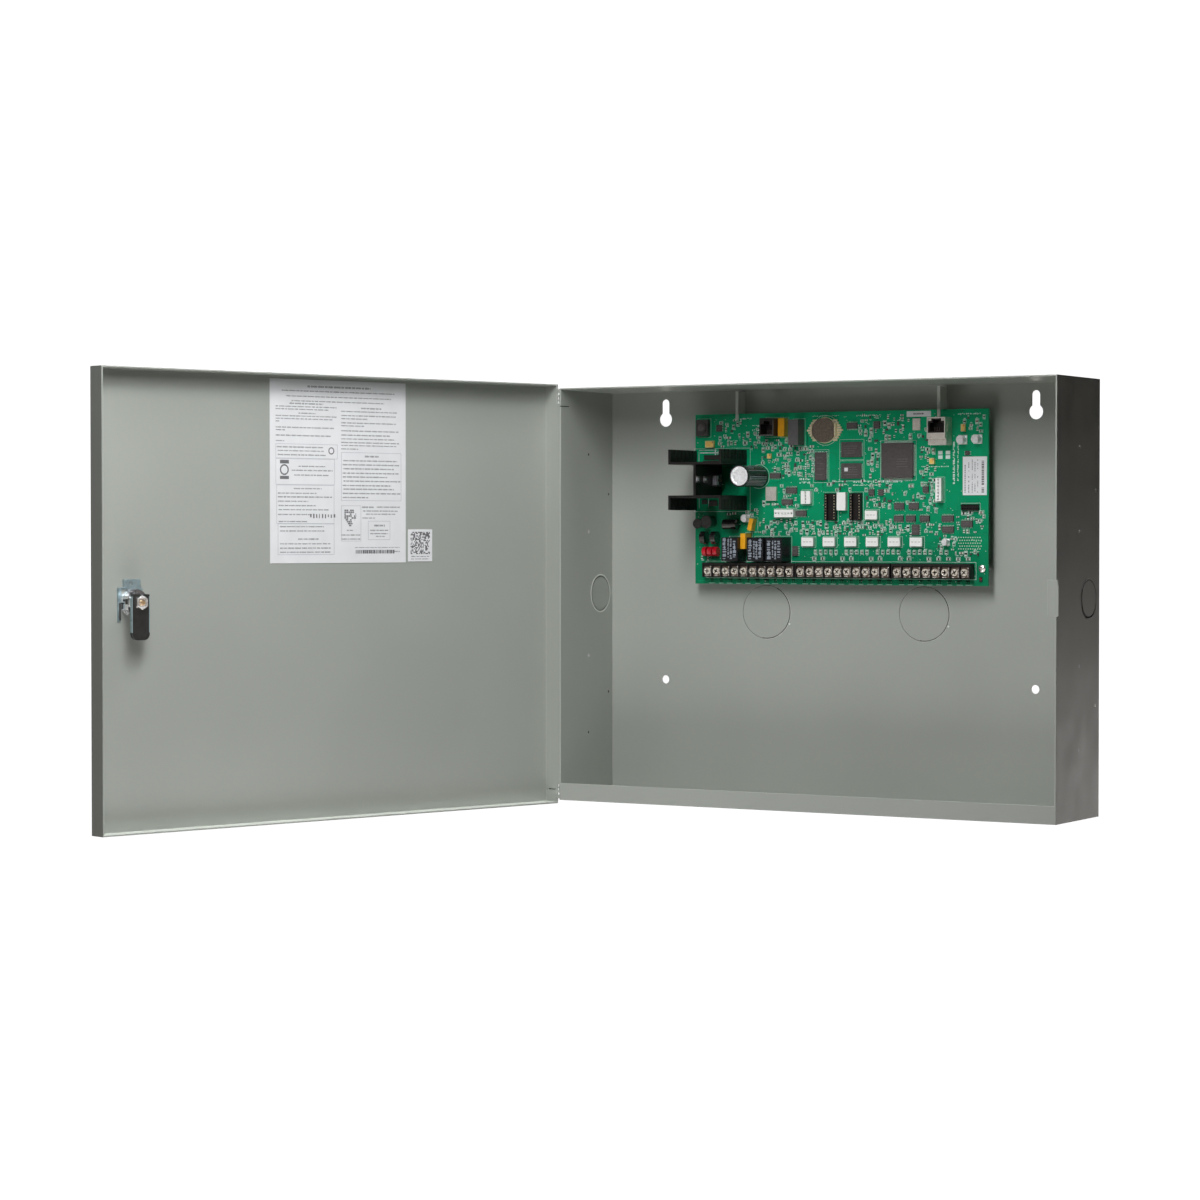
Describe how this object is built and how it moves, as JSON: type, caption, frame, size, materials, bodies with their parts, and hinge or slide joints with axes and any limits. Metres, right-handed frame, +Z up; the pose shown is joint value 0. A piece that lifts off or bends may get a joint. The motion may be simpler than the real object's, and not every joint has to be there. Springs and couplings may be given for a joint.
{
  "type": "fire alarm control panel",
  "caption": "Wall-mounted sheet-steel control panel with a hinged lockable door, open to show a green circuit board with screw terminals.",
  "frame": {"origin": "centre of the cabinet's flat back face, which lies on the wall", "axes": "+Z up, +Y into the wall, so the open front faces -Y; +X is to the right of someone facing the panel, and the door hinges on the left"},
  "size_m": [0.5988, 0.5045, 0.3508],
  "materials": {
    "cabinet": "satin",
    "knockout": "satin",
    "zinc": "satin",
    "nickel": "gloss",
    "chrome": "gloss",
    "board": "satin",
    "black_plastic": "satin",
    "black_metal": "matte",
    "can": "satin",
    "sleeve": "gloss",
    "grey_plastic": "satin",
    "tinned": "satin",
    "chip": "satin",
    "white_plastic": "satin",
    "gold": "satin",
    "cell": "satin",
    "amber": "gloss",
    "ochre": "satin",
    "red": "gloss",
    "ferrite": "matte",
    "paper": "matte",
    "cam": "satin",
    "spring": "satin"
  },
  "bodies": {
    "cabinet": {"cabinet_box": "cabinet", "back_knockouts": "knockout", "side_knockouts": "knockout", "hinge_pins": "zinc", "hinge_spacers": "zinc", "board_hangers": "knockout", "board_posts": "zinc", "board_screw": "nickel", "circuit_board": "board", "terminal_blocks": "black_plastic", "terminal_clamps": "nickel", "terminal_screws": "nickel", "heat_sink": "black_metal", "power_transistors": "chip", "capacitor_can": "can", "capacitor_sleeve": "sleeve", "output_relays": "black_plastic", "line_relay": "grey_plastic", "phone_jack": "black_plastic", "network_jack_shell": "tinned", "network_jack_insert": "black_plastic", "coin_cell": "cell", "cell_holder": "gold", "processor": "chip", "processor_leads": "tinned", "memory_chips": "chip", "memory_leads": "tinned", "small_chips": "chip", "chip_sockets": "black_plastic", "setup_card": "white_plastic", "zone_isolators": "white_plastic", "white_headers": "white_plastic", "black_header": "black_plastic", "film_capacitors": "amber", "tantalum_capacitors": "ochre", "red_suppressors": "red", "power_inductor": "ferrite", "filter_capacitors": "sleeve", "disc_suppressors": "ferrite", "axial_choke": "ferrite", "small_cans": "can", "shield_cans": "tinned", "board_labels": "paper"},
    "door": {"door_panel": "cabinet", "instruction_label": "paper", "code_label": "paper", "lock_housing": "chrome", "lock_clip": "spring"},
    "lock_cam_and_plug": {"lock_plug": "chrome", "lock_cam": "cam", "cam_screw": "nickel"}
  },
  "joints": [
    {"name": "door_hinge", "type": "hinge", "parent": "cabinet", "child": "door", "pos_m": [-0.22595, -0.0747, 0], "axis": [0, 0, 1], "range_deg": [-60, 107]},
    {"name": "lock_turn", "type": "hinge", "parent": "door", "child": "lock_cam_and_plug", "pos_m": [-0.36574, -0.46864, -0.001], "axis": [-0.9563, 0.2924, 0], "range_deg": [0, 90]}
  ]
}
